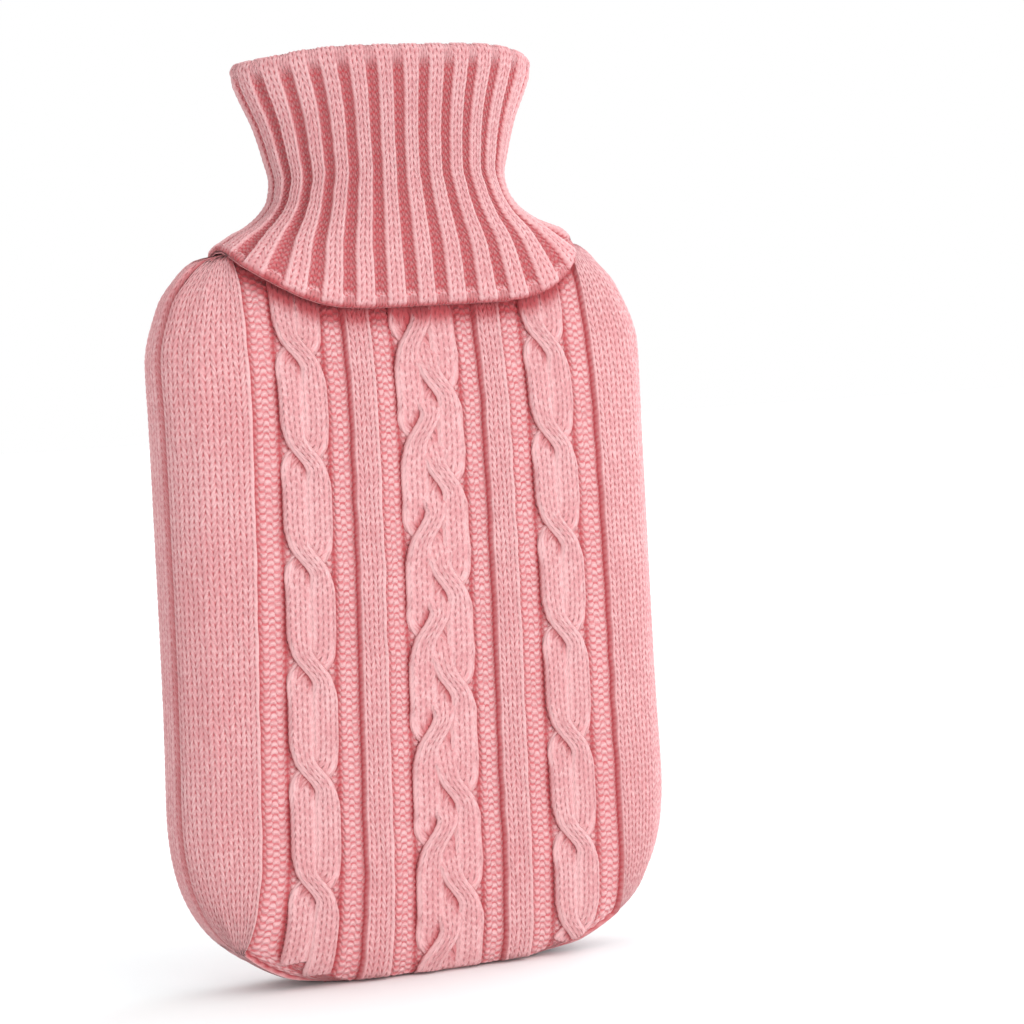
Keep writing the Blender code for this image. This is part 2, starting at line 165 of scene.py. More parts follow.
Cable = namedtuple("Cable", "name centre slots strand_half crossings")
Crossing = namedtuple("Crossing", "height left_slot lean")
ROPE_SLOTS = (-4.5, 4.5)
PLAIT_SLOTS = (-7.9, 0.0, 7.9)
LEFT_ROPE_HEIGHTS = (281.0, 242.6, 204.0, 164.4, 123.7, 82.8, 40.5, -2.0)
RIGHT_ROPE_HEIGHTS = (279.0, 241.9, 205.0, 168.0, 128.9, 87.3, 48.0, 9.7)
PLAIT_RIGHT_HEIGHTS = (264.0, 227.2, 191.7, 151.9, 113.1, 71.3, 32.9)
PLAIT_LEFT_HEIGHTS = (247.0, 210.6, 172.5, 134.3, 93.8, 53.5, 10.8)
CABLES = (
    Cable("rope_left", -53.6, ROPE_SLOTS, 5.5,
          tuple(Crossing(height, 0, 1) for height in LEFT_ROPE_HEIGHTS)),
    Cable("plait", 0.0, PLAIT_SLOTS, 6.2,
          tuple(sorted([Crossing(height, 1, 1) for height in PLAIT_RIGHT_HEIGHTS]
                       + [Crossing(height, 0, -1) for height in PLAIT_LEFT_HEIGHTS],
                       reverse=True))),
    Cable("rope_right", 53.6, ROPE_SLOTS, 5.5,
          tuple(Crossing(height, 0, 1) for height in RIGHT_ROPE_HEIGHTS)),
)
STRAND_WALES = 3
STRAND_TOP = 273.0
STRAND_LEVEL = -0.35  # height of a strand's middle over the ground
STRAND_CROWN = 2.2  # from its middle to its crown
STRAND_POWER = 2.3  # of its rounded section
FUSED_POWER = 6.0  # and of the side that lies against another strand
STRAND_UNDER = -0.6  # its base lies this share of the crown below its middle
CROSSING_LIFT = 1.3  # how far the upper strand rises at a crossing
CROSSING_DIP = 0.5  # and how far the lower one sinks
CROSSING_SWELL = 0.4
CROSSING_NARROW = 0.36  # how much narrower the upper strand is there
CROSSING_SPREAD = 0.10  # and how much wider the lower one
OVER_SHORT, OVER_LONG, OVER_SHARE = 14.0, 30.0, 0.72
UNDER_SHORT, UNDER_LONG, UNDER_SHARE = 9.0, 20.0, 0.82
LIFT_LENGTH = 26.0
STRAND_STITCH_DEPTH = 0.35
STRAND_LEG_RAISE = 0.3
STRAND_SINK = 2.0  # how far it goes below the ground at the corners of the sole
STRAND_STOP = 2.0  # courses before the sole's seam
STRAND_END_ROOM = 0.55  # of the lines' usual width, at the corners of the sole
STRAND_END_ROWS = 20.0  # over which the legs straighten there
STRAND_LEG_PLACE = 0.32  # wales in from a strand's edge
STRAND_LEG_WIDTH = 0.24
# how far the painted shade reaches out from the edge of a strand passing over, in its crease
CREASE_REACH = 2.6
BED_REACH = 10.0  # the ground under the plait's middle is thicker
BED_RAISE = 0.8
HEM_SHADE = 1.5  # how much redder the wool is painted right below the collar's hem, as its painted shadow
HEM_SHADE_REACH = 10.0


# ---- curves and surfaces

def smooth_step(value):
    """0 below 0, 1 above 1, and a soft S between."""
    value = np.clip(value, 0.0, 1.0)
    return value * value * (3.0 - 2.0 * value)


def smooth_curve(knots, values, place):
    """Read a smooth curve through values at knots, one that never overshoots them."""
    knots, values = np.asarray(knots, float), np.asarray(values, float)
    slopes = np.diff(values) / np.diff(knots)
    before, after = slopes[:-1], slopes[1:]
    agree = before * after > 0.0
    middle = np.where(agree, 2 * before * after / np.where(agree, before + after, 1.0), 0.0)
    tangents = np.concatenate([slopes[:1], middle, slopes[-1:]])
    place = np.clip(place, knots[0], knots[-1])
    index = np.clip(np.searchsorted(knots, place) - 1, 0, len(knots) - 2)
    span = knots[index + 1] - knots[index]
    t = (place - knots[index]) / span
    bend = tangents[index] * (1 - t) - tangents[index + 1] * t
    return (values[index] + (values[index + 1] - values[index]) * smooth_step(t)
            + bend * t * (1 - t) * span)


def unit(vectors):
    """The same vectors, one long."""
    return vectors / np.maximum(np.linalg.norm(vectors, axis=-1, keepdims=True), 1e-9)


def run_along(*coordinates):
    """Distances of a line's points from its start, from their coordinates."""
    steps = np.sqrt(sum(np.diff(values) ** 2 for values in coordinates))
    return np.concatenate([[0.0], np.cumsum(steps)])


class Surface:
    """A smooth surface kept as a grid of points, and read at any place between them."""

    def __init__(self, across, along, points, outward, closed=False):
        self.across, self.along, self.points = across, along, points
        self.middle_height = points[:, len(across) // 2, 2]
        if closed:
            ring = points[:, :-1]
            sideways = np.roll(ring, -1, axis=1) - np.roll(ring, 1, axis=1)
            sideways = np.concatenate([sideways, sideways[:, :1]], axis=1)
        else:
            sideways = np.gradient(points, axis=1)
        self.normals = unit(np.cross(sideways, np.gradient(points, axis=0)) * outward)
        self.stretch = np.linalg.norm(np.gradient(points, across, axis=1), axis=2, keepdims=True)

    def read(self, grid, across, along):
        """Values of a grid at places across and along the surface."""
        column = np.interp(across, self.across, np.arange(len(self.across)))
        row = np.interp(along, self.along, np.arange(len(self.along)))
        j = np.clip(column.astype(int), 0, len(self.across) - 2)
        i = np.clip(row.astype(int), 0, len(self.along) - 2)
        u, v = (column - j)[..., None], (row - i)[..., None]
        near = grid[i, j] * (1 - u) + grid[i, j + 1] * u
        far = grid[i + 1, j] * (1 - u) + grid[i + 1, j + 1] * u
        return near * (1 - v) + far * v

    def height_at(self, along):
        """Heights over the floor along the middle line."""
        return np.interp(along, self.along, self.middle_height)

    def normal(self, across, along):
        return unit(self.read(self.normals, across, along))

    def room(self, across, along):
        """How much of their usual width the vertical lines keep, 0 to 1."""
        return np.clip(self.read(self.stretch, across, along)[..., 0], 0.0, 1.0)

    def ground(self, across, along, height):
        """How much of a height can stand at a place without reaching below the floor, 0 to 1."""
        level = self.read(self.points, across, along)[..., 2]
        down = np.maximum(-self.normal(across, along)[..., 2], 0.08)
        return smooth_step(level / (height * down))

    def place(self, across, along, height):
        """Points at a height over the surface."""
        lift = self.normal(across, along) * np.asarray(height)[..., None]
        return self.read(self.points, across, along) + lift


def fan(height):
    """How far the knit's vertical lines are spread at a height."""
    return 1.0 + (FAN_HEIGHT - height) * FAN_RATE


def plan_x(station, half_width, height, side):
    """Distances of vertical lines from the middle, drawn in where the pouch is narrow."""
    spread = LEFT_SPREAD * max(1.0 - height / LEFT_SPREAD_TOP, 0.0) ** 2 if side < 0 else 0.0
    x = station * fan(height) + spread * (station / BAND_EDGE) ** 2
    limit = SOLE_REACH * half_width
    widest = BAND_EDGE * fan(height) + spread
    if limit >= widest:
        return x
    keep = SOLE_FREE * limit
    return np.where(x <= keep, x, keep + (x - keep) * (limit - keep) / (widest - keep))


def half_section(height, face, side, samples=480):
    """A level section from the middle of one face to a side seam, as |x| and y."""
    half_width, half_depth, width_power, depth_power = (
        float(smooth_curve([row.height for row in POUCH_ROWS],
                           [getattr(row, column) for row in POUCH_ROWS], height))
        for column in PouchRow._fields[1:])
    below = max((BASE_ROUND_TOP - height) / BASE_ROUND, 0.0)
    left = 1.0 - below ** BASE_WIDTH_POWER
    half_width *= left ** (1.0 / BASE_WIDTH_POWER)
    half_depth *= left ** (1.0 / BASE_DEPTH_POWER)
    if side > 0:
        half_width -= sum(row.slack * max(1.0 - ((height - row.height) / row.reach) ** 2, 0.0) ** 2
                          for row in RIGHT_SLACK)
    seam_y = SEAM_Y + face * SEAM_GAP / 2
    seam_angle = math.asin((abs(seam_y) / half_depth) ** (depth_power / 2))
    end = seam_angle if face * seam_y > 0 else -seam_angle
    angle = np.linspace(math.pi / 2, end, samples)
    x = half_width * np.abs(np.cos(angle)) ** (2 / width_power)
    y = half_depth * np.sign(np.sin(angle)) * np.abs(np.sin(angle)) ** (2 / depth_power) * face
    x[0], y[-1] = 0.0, seam_y
    return x, y


def half_row(height, face, side, stations):
    """Points of one level row at stations from the middle to the seam on one side."""
    x, y = half_section(height, face, side)
    run = run_along(x, y)
    inner = np.interp(plan_x(np.minimum(stations, BAND_EDGE), x.max(), height, side), x, run)
    beyond = np.maximum(stations - BAND_EDGE, 0.0) / (SIDE_REACH - BAND_EDGE)
    wanted = inner + (run[-1] - inner) * beyond
    return np.stack([side * np.interp(wanted, run, x), np.interp(wanted, run, y),
                     np.full(len(stations), height)], axis=1)


def soften(points, first, last, times):
    """Round the edge of the sole: rows near it move towards the mean of their neighbours."""
    for _ in range(times):
        mean = (points[first - 1:last - 1] + points[first + 1:last + 1]) / 2
        points[first:last] = (points[first:last] + mean) / 2
    return points


def pouch_surface(face):
    """The outer face of one panel, from the neck edge down and under to the sole's seam."""
    stations = np.linspace(0.0, SIDE_REACH, 112)
    heights = np.concatenate([np.arange(NECK_HEIGHT, 20.0, -1.0), np.arange(20.0, -0.01, -0.4)])
    rows = []
    for height in heights:
        left = half_row(height, face, -1, stations)
        right = half_row(height, face, 1, stations)
        rows.append(np.concatenate([left[:0:-1], right]))
    outline = rows[-1]
    seam = outline.copy()
    seam[:, 1] = SEAM_Y + face * SEAM_GAP / 2
    sole = [outline + (seam - outline) * share for share in np.linspace(0.0, 1.0, 16)[1:]]
    points = soften(np.array(rows + sole), len(rows) - 12, len(rows) + 6, 12)
    across = np.concatenate([-stations[:0:-1], stations])
    return Surface(across, run_along(*points[:, len(stations) - 1].T), points, face)


def collar_ring(row, places, samples=1440):
    """Points round one level of the collar, at shares of its length from the front."""
    angle = np.linspace(0.0, TURN, samples + 1)
    sine, cosine = np.sin(angle), np.cos(angle)
    x = row.side_x * np.sign(sine) * np.abs(sine) ** (2 / row.section_power)
    y = -row.front_y * np.sign(cosine) * np.abs(cosine) ** (2 / row.section_power)
    run = run_along(x, y)
    share = places + row.rib_spread * np.sin(2 * TURN * places) / (2 * TURN)
    wanted = (share % 1.0) * run[-1]
    power = np.where(share % 1.0 < 0.5, RIGHT_HEM_RISE_POWER, LEFT_HEM_RISE_POWER)
    sideways = np.abs(np.sin(TURN * share)) ** power
    height = row.front_height + (row.side_height - row.front_height) * sideways
    return np.stack([np.interp(wanted, run, x), np.interp(wanted, run, y), height], axis=1)


def collar_surface():
    """The collar's face: up from the hem, over the rim, and down inside the neck."""
    places = np.linspace(0.0, 1.0, 521)
    order = np.arange(len(COLLAR_ROWS))
    fine = np.linspace(0, len(COLLAR_ROWS) - 1, 111)
    columns = [smooth_curve(order, [getattr(row, name) for row in COLLAR_ROWS], fine)
               for name in CollarRow._fields]
    face = np.array([collar_ring(CollarRow(*row), places) for row in zip(*columns)])
    out = Surface(places, fine, face, 1.0, closed=True).normals
    inside = 2 * COLLAR_CLOTH + LAYER_GAP
    rim = []
    for turn in np.linspace(0.0, math.pi, 14)[1:-1]:
        level = face[-1] - out[-1] * inside / 2 * (1.0 - math.cos(turn))
        level[:, 2] = face[-1][:, 2] + RIM_CREST * math.sin(turn)
        rim.append(level)
    neck = int(np.searchsorted(fine, NECK_ROW))
    inner = [face[row] - out[row] * inside for row in range(len(fine) - 1, neck - 1, -1)]
    inner[-1][:, 2] = NECK_HEIGHT + NECK_EDGE_LIFT
    points = np.array(list(face) + rim + inner)
    along = run_along(*points[:, 0].T)
    return Surface(places, along, points, 1.0, closed=True), along[len(face) - 1]


# ---- stitches

def knit_height(across, up):
    """Height share of plain stitches: two steep legs for each wale, and holes between them."""
    leg = np.abs(np.sin(TURN * across)) ** 0.6
    gap = 0.5 + 0.5 * np.cos(TURN * (up - LEG_SLOPE * np.abs(across)))
    return 0.25 + 0.75 * leg - gap ** 2 * (0.25 + 0.5 * (1 - leg))


def purl_height(across, up):
    """Height share of purl stitches: short bars, laid like bricks."""
    return 0.5 + 0.5 * np.cos(TURN * across) * np.cos(TURN * up)


Column = namedtuple("Column", "place wale knit raised from_edge on_left")


def columns_of(zones):
    """The mesh columns of a row of zones, each with its distance in wales from a zone's edge."""
    columns = []
    count = 0
    for zone in zones:
        shares = np.arange(zone.wales * zone.steps) / zone.steps
        if zone.raised > 0.0:
            shares = np.concatenate([shares, [FLANK, zone.wales - FLANK]])
        for share in np.sort(shares):
            place = zone.start + (zone.end - zone.start) * share / zone.wales
            edge = min(share, zone.wales - share)
            if zone is zones[0]:
                edge = zone.wales - share
            elif zone is zones[-1]:
                edge = share
            raised = zone.raised * float(smooth_step(0.05 + edge / FLANK))
            on_left = zone is zones[-1] or (share < zone.wales / 2 and zone is not zones[0])
            columns.append(Column(place, count + share, zone.stitch == "knit", raised, edge,
                                  float(on_left)))
        count += zone.wales
    last = zones[-1]
    columns.append(Column(last.end, count, last.stitch == "knit", last.raised, last.wales, 1.0))
    return [np.array(values) for values in zip(*columns)]


def edge_leg(from_edge, knit):
    """How much a place is in the outermost leg of a knit strip, which stands up and is smooth."""
    return np.where(knit, np.exp(-((from_edge - EDGE_LEG_PLACE) / EDGE_LEG_WIDTH) ** 2), 0.0)


def crevice(from_edge, knit):
    """How deep a place lies in the crevice where knit and purl strips meet."""
    return np.exp(-(from_edge / np.where(knit, KNIT_CREVICE, PURL_CREVICE)) ** 2)


def wobble(seed, across, along, reach, sizes=(37.0, 17.0, 7.0)):
    """A smooth unevenness of about the reach either way, the same every time."""
    dice = np.random.default_rng(seed)
    total = np.zeros(np.broadcast(across, along).shape)
    for size in sizes:
        for _ in range(3):
            turn, start = dice.uniform(0, TURN, 2)
            wave = (across * math.cos(turn) + along * math.sin(turn)) * TURN / size
            total += np.sin(wave + start)
    return total / (3 * len(sizes)) * 1.6 * reach


# ---- meshes

def grid_faces(rows, columns, start=0, wrap=False, flip=False):
    """Quads of a grid of points numbered row by row."""
    row, column = np.meshgrid(np.arange(rows - 1), np.arange(columns if wrap else columns - 1),
                              indexing="ij")
    after = (column + 1) % columns
    quads = np.stack([row * columns + column, (row + 1) * columns + column,
                      (row + 1) * columns + after, row * columns + after], axis=-1)
    quads = quads.reshape(-1, 4) + start
    return quads[:, ::-1] if flip else quads


def grid_corners(values, wrap_value=None):
    """Values of a grid's quads at their corners, in the order that grid_faces gives."""
    if wrap_value is not None:
        values = np.concatenate([values, wrap_value], axis=1)
    return np.stack([values[:-1, :-1], values[1:, :-1], values[1:, 1:], values[:-1, 1:]],
                    axis=2).reshape(-1, 4, values.shape[-1])


def border_faces(outer, inner, kept, flip):
    """Faces that join a fine border to a coarser one with a point at each kept index."""
    faces = []
    for index, (first, last) in enumerate(zip(kept, kept[1:])):
        ring = list(outer[first:last + 1]) + [inner[index + 1], inner[index]]
        faces.append(ring[::-1] if flip else ring)
    return faces


def add_object(name, data):
    holder = bpy.data.objects.new(name, data)
    bpy.context.scene.collection.objects.link(holder)
    return holder


def make_mesh(name, points, faces, corner_uvs, materials, face_materials, painted_light_tones):
    """A mesh object from points in millimetres, with stitch counts as its texture map.

    Its painted light is a value per point: below 0, painted shade makes the wool deep red; above
    0, a painted highlight makes it paler.
    """
    mesh = bpy.data.meshes.new(name)
    points = np.asarray(points) * MM
    points[:, 2] = np.maximum(points[:, 2], 0.0)
    mesh.from_pydata(points, [], faces)
    layer = mesh.uv_layers.new(name="stitches")
    uvs = np.zeros((len(mesh.loops), 2), np.float32)
    uvs[:len(corner_uvs)] = corner_uvs
    layer.data.foreach_set("uv", uvs.ravel())
    for material in materials:
        mesh.materials.append(material)
    slots = np.zeros(len(mesh.polygons), np.int32)
    slots[:len(face_materials)] = face_materials
    mesh.polygons.foreach_set("material_index", slots)
    painted_light = mesh.attributes.new("painted_light", "FLOAT", "POINT")
    # points past those given, on the inner faces, get painted shade
    values = np.full(len(mesh.vertices), -0.5, np.float32)
    values[:len(painted_light_tones)] = painted_light_tones
    painted_light.data.foreach_set("value", values)
    mesh.shade_smooth()
    mesh.validate()
    return add_object(name, mesh)


def every(count, step):
    """Indices of one point in so many, and of the last."""
    return list(range(0, count - 1, step)) + [count - 1]


def make_sheet(name, outer, inner, kept, stitches, flip, materials, slots, painted_light_tones, round_wales=0):
    """A closed mesh: a fine outer face, a coarse inner one, and the borders that join them.

    The inner face has a point at each kept row and column of the outer one. A tube of cloth
    has round_wales, the wales in one turn.
    """
    tube = round_wales > 0
    rows, columns = outer.shape[:2]
    kept_rows, kept_columns = kept
    uv = np.stack(np.broadcast_arrays(*stitches), axis=-1)
    quads = grid_faces(rows, columns, wrap=tube, flip=flip)
    back = grid_faces(*inner.shape[:2], start=rows * columns, wrap=tube, flip=not flip)
    faces = np.concatenate([quads, back]).tolist()
    index = np.arange(rows * columns).reshape(rows, columns)
    inside = np.arange(inner[..., 0].size).reshape(inner.shape[:2]) + index.size
    last = uv[:, :1] + [round_wales, 0.0] if tube else None
    if tube:
        index, inside = (np.concatenate([grid, grid[:, :1]], axis=1) for grid in (index, inside))
        kept_columns = kept_columns + [columns]
    else:
        faces += border_faces(index[:, 0], inside[:, 0], kept_rows, flip)
        faces += border_faces(index[:, -1], inside[:, -1], kept_rows, not flip)
    faces += border_faces(index[0], inside[0], kept_columns, not flip)
    faces += border_faces(index[-1], inside[-1], kept_columns, flip)
    corners = grid_corners(uv, last)
    if flip:
        corners = corners[:, ::-1]
    points = np.concatenate([outer.reshape(-1, 3), inner.reshape(-1, 3)])
    return make_mesh(name, points, faces, corners.reshape(-1, 2), materials, slots.reshape(-1),
                     painted_light_tones.reshape(-1))


Move = namedtuple("Move", "height start end side")


def strand_moves(cable):
    """Each strand's moves from the top down; side 1 passes over."""
    order = list(range(len(cable.slots)))
    moves = [[] for _ in order]
    for crossing in cable.crossings:
        slot = crossing.left_slot
        left, right = order[slot], order[slot + 1]
        near, far = cable.slots[slot], cable.slots[slot + 1]
        moves[left].append(Move(crossing.height, near, far, crossing.lean))
        moves[right].append(Move(crossing.height, far, near, -crossing.lean))
        order[slot], order[slot + 1] = right, left
    return moves


def strand_course(cable, strand, moves, height):
    """Place across, and how much a strand is over (1) or under (-1) another, at heights."""
    place = np.full(height.shape, float(cable.slots[strand]))
    lift = np.zeros(height.shape)
    for move in moves:
        down = move.height - height
        short, long, share = ((OVER_SHORT, OVER_LONG, OVER_SHARE) if move.side > 0
                              else (UNDER_SHORT, UNDER_LONG, UNDER_SHARE))
        done = (share * smooth_step(down / short + 0.5)
                + (1 - share) * smooth_step(down / long + 0.5))
        place += (move.end - move.start) * done
        into = np.clip(down / LIFT_LENGTH + 0.5, 0.0, 1.0)
        lift += move.side * np.sin(math.pi * into) ** 1.5
    return place, lift


def strand_width(lift):
    """How wide a strand is for its lift, as a share of its usual width."""
    return 1.0 - CROSSING_NARROW * np.maximum(lift, 0) + CROSSING_SPREAD * np.maximum(-lift, 0)


def beside_strands(across, surface, along):
    """How far places are from the nearest edge of a cable's strand; below 0 under one."""
    height = surface.height_at(along)
    gap = np.full(across.shape, 99.0)
    for cable in CABLES:
        for strand, moves in enumerate(strand_moves(cable)):
            place, lift = strand_course(cable, strand, moves, height)
            half = cable.strand_half * strand_width(lift)
            gap = np.minimum(gap, np.abs(across - cable.centre - place) - half)
    return np.where(height < STRAND_TOP, gap, 99.0)


def under_hem(points):
    """How much points of a panel lie in the shade right below the collar's hem."""
    hem = collar_ring(COLLAR_ROWS[0], np.linspace(-0.25, 0.25, 181))
    hem_height = np.interp(points[..., 0], hem[:, 0], hem[:, 2])
    return smooth_step(1.0 - (hem_height - points[..., 2]) / HEM_SHADE_REACH)


def make_panel(name, face, zones, rows_a_course, materials):
    """One knitted panel as a closed sheet: a stitched outer face and a plainer inner one."""
    surface = pouch_surface(face)
    places, wales, knit, raised, from_edge, on_left = columns_of(zones)
    knit = knit.astype(bool)
    local = wales % 1.0 - 0.5
    length = surface.along[-1]
    courses = round(length / COURSE)
    rows = courses * rows_a_course + 1
    up = (np.arange(rows) / rows_a_course)[:, None] + np.zeros(len(places))
    ends = smooth_step(np.minimum(up, courses - up) / END_COURSES)
    lean = LEG_SLOPE * np.abs(local) * knit * ends * smooth_step(from_edge / EDGE_WALES)
    stitch_up = up + lean
    along = stitch_up * COURSE
    uneven = np.minimum(ends, smooth_step((SIDE_REACH - np.abs(places)) / 4.0))
    across = places + wobble(3 + face, places, along, UNEVEN_ACROSS) * uneven
    shifted = stitch_up + wobble(7 + face, places, along, UNEVEN_UP) * uneven
    along = np.clip(shifted / courses * length, 0.0, length)
    level = surface.read(surface.points, across, along)[..., 2]
    raised = raised * (1 - smooth_step((np.abs(places) - BAND_FADE) / (BAND_GONE - BAND_FADE)))
    top = smooth_step((RELIEF_TOP + RELIEF_FADE - level) / RELIEF_FADE)
    sole = surface.ground(across, along, PANEL_RELIEF)
    least = CROWDED_ROOM + SHOULDER_ROOM * smooth_step((level - SHOULDER_LEVEL) / 20.0)
    fine = (surface.ground(across, along, FINE_RELIEF)
            * smooth_step((surface.room(across, along) - least) / ROOM_FADE))
    stitch = np.where(knit, knit_height(local, stitch_up), purl_height(local, up))
    depth = np.where(knit, STITCH_DEPTH, PURL_DEPTH)
    near_seam = np.minimum(across + SIDE_REACH, SIDE_REACH - across)
    dip = 1.0 - smooth_step(near_seam / SEAM_WIDTH)
    leg, deep = edge_leg(from_edge, knit), crevice(from_edge, knit)
    height = ((raised + EDGE_LEG_RAISE * leg - CREVICE_DEPTH * deep) * top * sole
              + depth * (stitch * fine - STITCH_MEAN) - SEAM_DIP * dip)
    # Painted light: a painted highlight on the outer legs of knit strips, stronger at their right
    # edges, and painted shade in the crevices beside them, stronger at their left edges, and in
    # the seam's groove.
    painted_light_tones = leg * (0.75 - 0.5 * on_left) - deep * (0.75 + 0.2 * on_left) - 0.8 * dip
    if face < 0:
        strand_gap = beside_strands(across, surface, along)
        bed = smooth_step((BED_REACH - np.abs(across)) / 3.0) * top * sole
        height += BED_RAISE * bed - 0.2 * smooth_step(1.0 - strand_gap / 1.5) * sole * (1 - bed)
        # painted shade on the purl beside and under the strands, less on the plait's bed
        painted_light_tones -= 0.55 * smooth_step(1.0 - strand_gap / 1.6) * ~knit * (1.0 - 0.6 * bed)
    outer = surface.place(across, along, height)
    # the painted shadow below the collar's hem
    painted_light_tones -= HEM_SHADE * under_hem(outer)
    painted_light_tones = np.clip(painted_light_tones, -1.0, 1.0)

    kept = every(rows, PANEL_KEPT[0]), every(len(places), PANEL_KEPT[1])
    pick = np.ix_(*kept)
    inner = surface.place(across[pick], along[pick], np.full(across[pick].shape, -PANEL_CLOTH))
    slots = np.broadcast_to(~knit[:-1], (rows - 1, len(places) - 1)).astype(int)
    piece = make_sheet(name, outer, inner, kept, (wales, stitch_up), face > 0, materials, slots,
                       painted_light_tones)
    return piece, surface


# ---- strands

def section_places(half):
    """Shares of half a strand's width at each mesh column on top, evenly spaced round it."""
    b = np.cos(np.linspace(math.pi * 0.97, math.pi * 0.03, 400))
    p = section_height(b, STRAND_POWER)
    run = run_along(b * half, p * STRAND_CROWN)
    return np.interp(np.linspace(0.0, run[-1], STRAND_WALES * 4 + 1), run, b)


def section_height(b, power):
    """Height share of a strand's top at a share of half its width."""
    return (1.0 - np.minimum(np.abs(b), 1.0) ** power) ** (1.0 / power)


def other_strands(cable, strand, height):
    """Each other strand's place and lift at heights, and its place a millimetre lower."""
    for other, moves in enumerate(strand_moves(cable)):
        if other != strand:
            lower_place, _ = strand_course(cable, other, moves, height - 1.0)
            yield (*strand_course(cable, other, moves, height), lower_place)


def beside(cable, strand, height, place, lift, side):
    """How much another strand lies against one side of a strand, level with it."""
    against = np.zeros(height.shape)
    for other_place, other_lift, _ in other_strands(cable, strand, height):
        away = (other_place - place) * side
        near = smooth_step((away - 2.0) / 3.0) * smooth_step((14.0 - away) / 4.0)
        against = np.maximum(against, near * np.clip(1.0 - np.abs(other_lift - lift), 0.0, 1.0))
    return against


def crease_shade(cable, strand, points, lift):
    """How much painted shade points on a strand get in the crease left of a strand that passes
    over it.
    """
    height = points[..., 2]
    place = points[..., 0] / fan(height) - cable.centre
    shade = np.zeros(place.shape)
    for other_place, other_lift, lower_place in other_strands(cable, strand, height):
        slant = np.hypot(1.0, lower_place - other_place)
        half = cable.strand_half * strand_width(other_lift)
        aside = (place - other_place) / slant
        near = smooth_step(1.0 - (np.abs(aside) - half) / CREASE_REACH)
        over = np.clip(other_lift - lift - 0.3, 0.0, 1.0)
        shade = np.maximum(shade, near * over * (aside < 0))
    return shade


def make_strand(name, cable, strand, moves, surface, material):
    """One strand of a cable: a flattened tube of knit that passes over and under the others."""
    length = surface.along[-1]
    courses = round(length / COURSE)
    top = np.interp(-STRAND_TOP, -surface.middle_height, surface.along)
    top_course = top / length * courses
    rows = int((courses - STRAND_STOP - top_course) * ROWS_A_COURSE)
    row_course = top_course + np.arange(rows) / ROWS_A_COURSE

    def centre(place_along):
        height = surface.height_at(place_along)
        place, lift = strand_course(cable, strand, moves, height)
        across = cable.centre + place
        level = STRAND_LEVEL + np.where(lift > 0, CROSSING_LIFT, CROSSING_DIP) * lift
        return height, across, level, lift

    # The strand ends where its line is drawn in under the pouch's corner.
    row_along = row_course / courses * length
    drawn_in = np.flatnonzero(surface.room(centre(row_along)[1], row_along) < STRAND_END_ROOM)
    rows = int(drawn_in[0]) if len(drawn_in) else rows
    section = np.concatenate([section_places(cable.strand_half), [0.9, 0.0, -0.9]])
    columns = len(section)
    wale = np.arange(STRAND_WALES * 4 + 1) / 4
    local = np.concatenate([wale % 1.0 - 0.5, np.full(3, -0.5)])
    taper = smooth_step((rows - 1.0 - np.arange(rows)[:, None]) / STRAND_END_ROWS)
    slant = LEG_SLOPE * np.abs(local) * taper ** 2
    up = row_course[:rows, None] + slant
    along = np.minimum(up / courses * length, length)
    height, across, level, lift = centre(along)
    room = surface.room(across, along)
    free = smooth_step((room - STRAND_END_ROOM) / 0.35)
    fade = surface.ground(across, along, STRAND_RELIEF) * free
    sunk = STRAND_SINK * (1.0 - free)
    here = surface.place(across, along, level * fade - sunk)

    def beyond(step):
        _, step_across, step_level, _ = centre(along + step)
        return surface.place(step_across, along + step, step_level * fade - sunk)

    heading = unit(beyond(0.5) - beyond(-0.5))
    normal = surface.normal(across, along)
    sideways = unit(np.cross(heading, normal))
    width = strand_width(lift) * (0.3 + 0.7 * room)
    crown = (1.0 + CROSSING_SWELL * np.maximum(lift, 0) / STRAND_CROWN
             - 0.25 * np.maximum(-lift, 0)) * fade
    knit = np.arange(columns) <= STRAND_WALES * 4
    from_edge = np.minimum(wale, STRAND_WALES - wale)
    leg = np.exp(-((from_edge - STRAND_LEG_PLACE) / STRAND_LEG_WIDTH) ** 2)
    # the base and underside columns get painted shade, and the outer legs on top a painted
    # highlight
    leg = np.concatenate([leg, np.full(3, -1.0)])
    leg[:2] = (-1.0, -0.3)
    stitch = np.where(knit, STRAND_STITCH_DEPTH * (knit_height(local, up) - STITCH_MEAN), 0.0)
    stitch = stitch + STRAND_LEG_RAISE * np.maximum(leg, 0.0)
    place = across - cable.centre
    against = np.where(section > 0, *(beside(cable, strand, height, place, lift, side)
                                      for side in (1, -1)))
    power = STRAND_POWER + (FUSED_POWER - STRAND_POWER) * against
    p = np.where(knit, section_height(section, power), STRAND_UNDER)
    stitch = stitch * (1.0 - 0.5 * np.maximum(lift, 0.0)) * fade * free ** 2
    leg = leg * (1.0 - against)
    b = section * (cable.strand_half * width + stitch * 0.3)
    p = p * (STRAND_CROWN * crown + stitch * fade)
    points = here + sideways * b[..., None] + normal * p[..., None]
    # Painted light: the highlight on the outer legs, shade at the base and in the crease, and the
    # painted shadow below the hem.
    painted_light_tones = leg - 0.9 * crease_shade(cable, strand, points, lift)
    painted_light_tones = np.clip(painted_light_tones - HEM_SHADE * under_hem(points), -1.0, 1.0)

    faces = grid_faces(rows, columns, wrap=True).tolist()
    faces.append(list(range(columns)))
    faces.append(list(range((rows - 1) * columns, rows * columns))[::-1])
    wales = np.concatenate([wale, np.full(3, wale[-1])])
    uv = np.stack(np.broadcast_arrays(wales, up), axis=-1)
    corners = grid_corners(uv, uv[:, :1])
    return make_mesh(name, points.reshape(-1, 3), faces, corners.reshape(-1, 2), [material],
                     [0], painted_light_tones.reshape(-1))


# ---- collar

